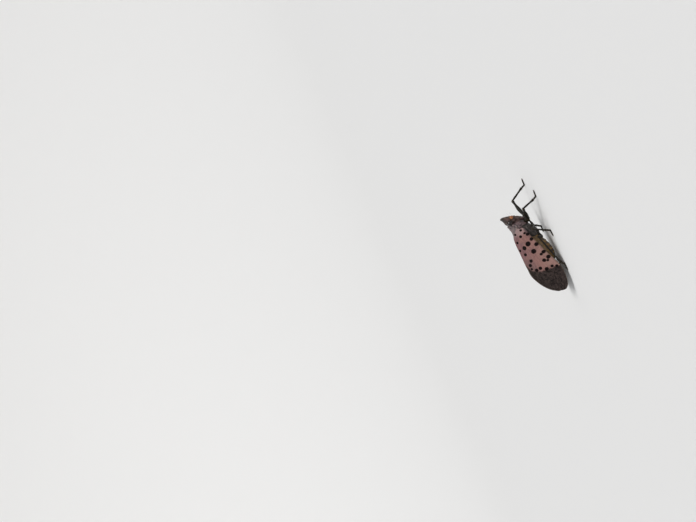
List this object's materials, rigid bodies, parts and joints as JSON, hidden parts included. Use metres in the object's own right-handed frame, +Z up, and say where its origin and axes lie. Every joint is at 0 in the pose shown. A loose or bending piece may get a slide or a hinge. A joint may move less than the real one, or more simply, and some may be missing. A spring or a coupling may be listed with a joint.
{
  "type": "spotted lanternfly",
  "caption": "Adult spotted lanternfly standing with its front raised and its spotted wings folded like a roof.",
  "frame": {"origin": "centre of the box that bounds the animal, at the level of its feet", "axes": "-Y the way it faces, +X its left side, +Z up from the floor"},
  "size_m": [0.0172, 0.0312, 0.0102],
  "materials": {
    "head": "mottled purplish grey chitin, finely granular",
    "eye": "glossy dark red-brown, finely faceted",
    "antenna": "orange, warty",
    "rostrum": "smooth black-brown",
    "prothorax": "greyish pink-brown collar",
    "mesonotum": "greyish brown shield with fine keels",
    "thorax": "dark brown plates with waxy bloom",
    "tegula": "pinkish brown scale over the wing's root",
    "forewing": "dusty pink-grey with black spots, brown-black netted tip",
    "hindwing": "red at the root with black spots, white band, black tip",
    "abdomen": "yellow with black bands and a waxy bloom",
    "leg": "black-brown, bristly"
  },
  "bodies": {
    "root": {"head": "head", "rostrum": "rostrum", "prothorax": "prothorax", "mesonotum": "mesonotum", "thorax": "thorax", "abdomen": "abdomen", "abdomen_tip": "abdomen", "eye_left": "eye", "eye_right": "eye", "antenna_left": "antenna", "antenna_right": "antenna", "tegula_left": "tegula", "tegula_right": "tegula", "forewing_left": "forewing", "forewing_right": "forewing", "hindwing_left": "hindwing", "hindwing_right": "hindwing", "coxa_front_left": "leg", "femur_front_left": "leg", "tibia_front_left": "leg", "tarsus_front_left": "leg", "coxa_front_right": "leg", "femur_front_right": "leg", "tibia_front_right": "leg", "tarsus_front_right": "leg", "coxa_middle_left": "leg", "femur_middle_left": "leg", "tibia_middle_left": "leg", "tarsus_middle_left": "leg", "coxa_middle_right": "leg", "femur_middle_right": "leg", "tibia_middle_right": "leg", "tarsus_middle_right": "leg", "coxa_hind_left": "leg", "femur_hind_left": "leg", "tibia_hind_left": "leg", "tarsus_hind_left": "leg", "coxa_hind_right": "leg", "femur_hind_right": "leg", "tibia_hind_right": "leg", "tarsus_hind_right": "leg"}
  },
  "joints": []
}
